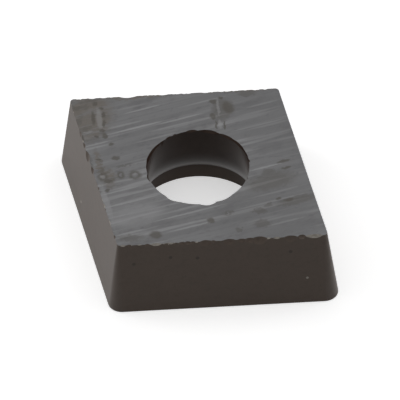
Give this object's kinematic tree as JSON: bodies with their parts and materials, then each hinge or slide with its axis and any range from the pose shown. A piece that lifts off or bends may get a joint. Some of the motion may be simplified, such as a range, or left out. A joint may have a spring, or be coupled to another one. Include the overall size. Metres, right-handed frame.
{
  "type": "carbide insert",
  "caption": "Rhombic positive turning insert of cemented carbide with a flared screw hole, ground seat face up and chipped at its rims.",
  "frame": {"origin": "Where the axis of the screw hole meets the rake face, on which the insert lies.", "axes": "+X runs through the two sharp corners, +Z runs along the hole from the rake face to the smaller seat face."},
  "size_m": [0.0094, 0.008, 0.0024],
  "materials": {
    "cemented_carbide": "satin"
  },
  "bodies": {
    "root": {"insert_body": "cemented_carbide"}
  },
  "joints": []
}
